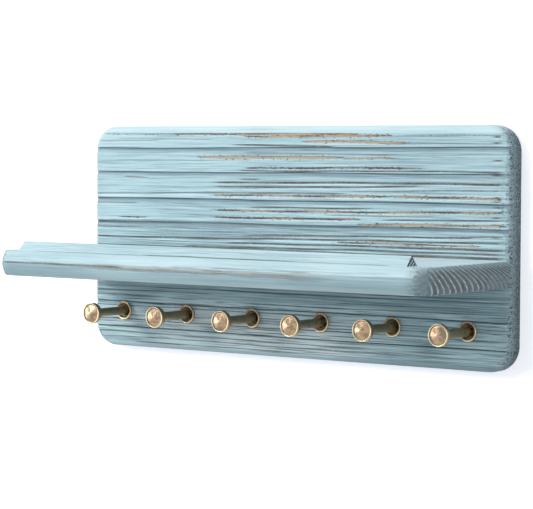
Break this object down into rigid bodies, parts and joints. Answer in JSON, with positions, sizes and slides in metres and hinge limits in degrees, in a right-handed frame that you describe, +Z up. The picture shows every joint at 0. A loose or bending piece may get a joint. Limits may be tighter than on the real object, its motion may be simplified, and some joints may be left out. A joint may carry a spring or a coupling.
{
  "type": "wall key holder with shelf",
  "caption": "Long wooden wall board with rounded corners, a bullnosed shelf with a low lip across its middle, and a row of mushroom-headed brass key pegs below.",
  "frame": {"origin": "centre of the backboard's back face, on the wall", "axes": "+X along the board to the right as seen from the front, +Y into the wall, +Z up"},
  "size_m": [0.4, 0.138, 0.183],
  "materials": {
    "board_paint": "distressed pale blue paint on wire-brushed pine, dark grain lines, brown wood showing in streaks",
    "shelf_paint": "smooth pale blue paint on pine, worn at the front arris, ends grey with raised growth rings",
    "lip_paint": "smooth pale blue paint, ends bare and dark with slanting grain",
    "peg_brass": "aged brass, polished rim and face, dark olive patina on the shank",
    "cup_brass": "aged brass with a bright rolled lip and a dark dish",
    "zinc_screw": "zinc plated"
  },
  "bodies": {
    "root": {"backboard": "board_paint", "shelf_board": "shelf_paint", "shelf_lip": "lip_paint", "peg_1": "peg_brass", "peg_2": "peg_brass", "peg_3": "peg_brass", "peg_4": "peg_brass", "peg_5": "peg_brass", "peg_6": "peg_brass", "peg_cup_1": "cup_brass", "peg_cup_2": "cup_brass", "peg_cup_3": "cup_brass", "peg_cup_4": "cup_brass", "peg_cup_5": "cup_brass", "peg_cup_6": "cup_brass", "peg_screw_1": "zinc_screw", "peg_screw_2": "zinc_screw", "peg_screw_3": "zinc_screw", "peg_screw_4": "zinc_screw", "peg_screw_5": "zinc_screw", "peg_screw_6": "zinc_screw", "shelf_screw_1": "zinc_screw", "shelf_screw_2": "zinc_screw", "shelf_screw_3": "zinc_screw"}
  },
  "joints": []
}
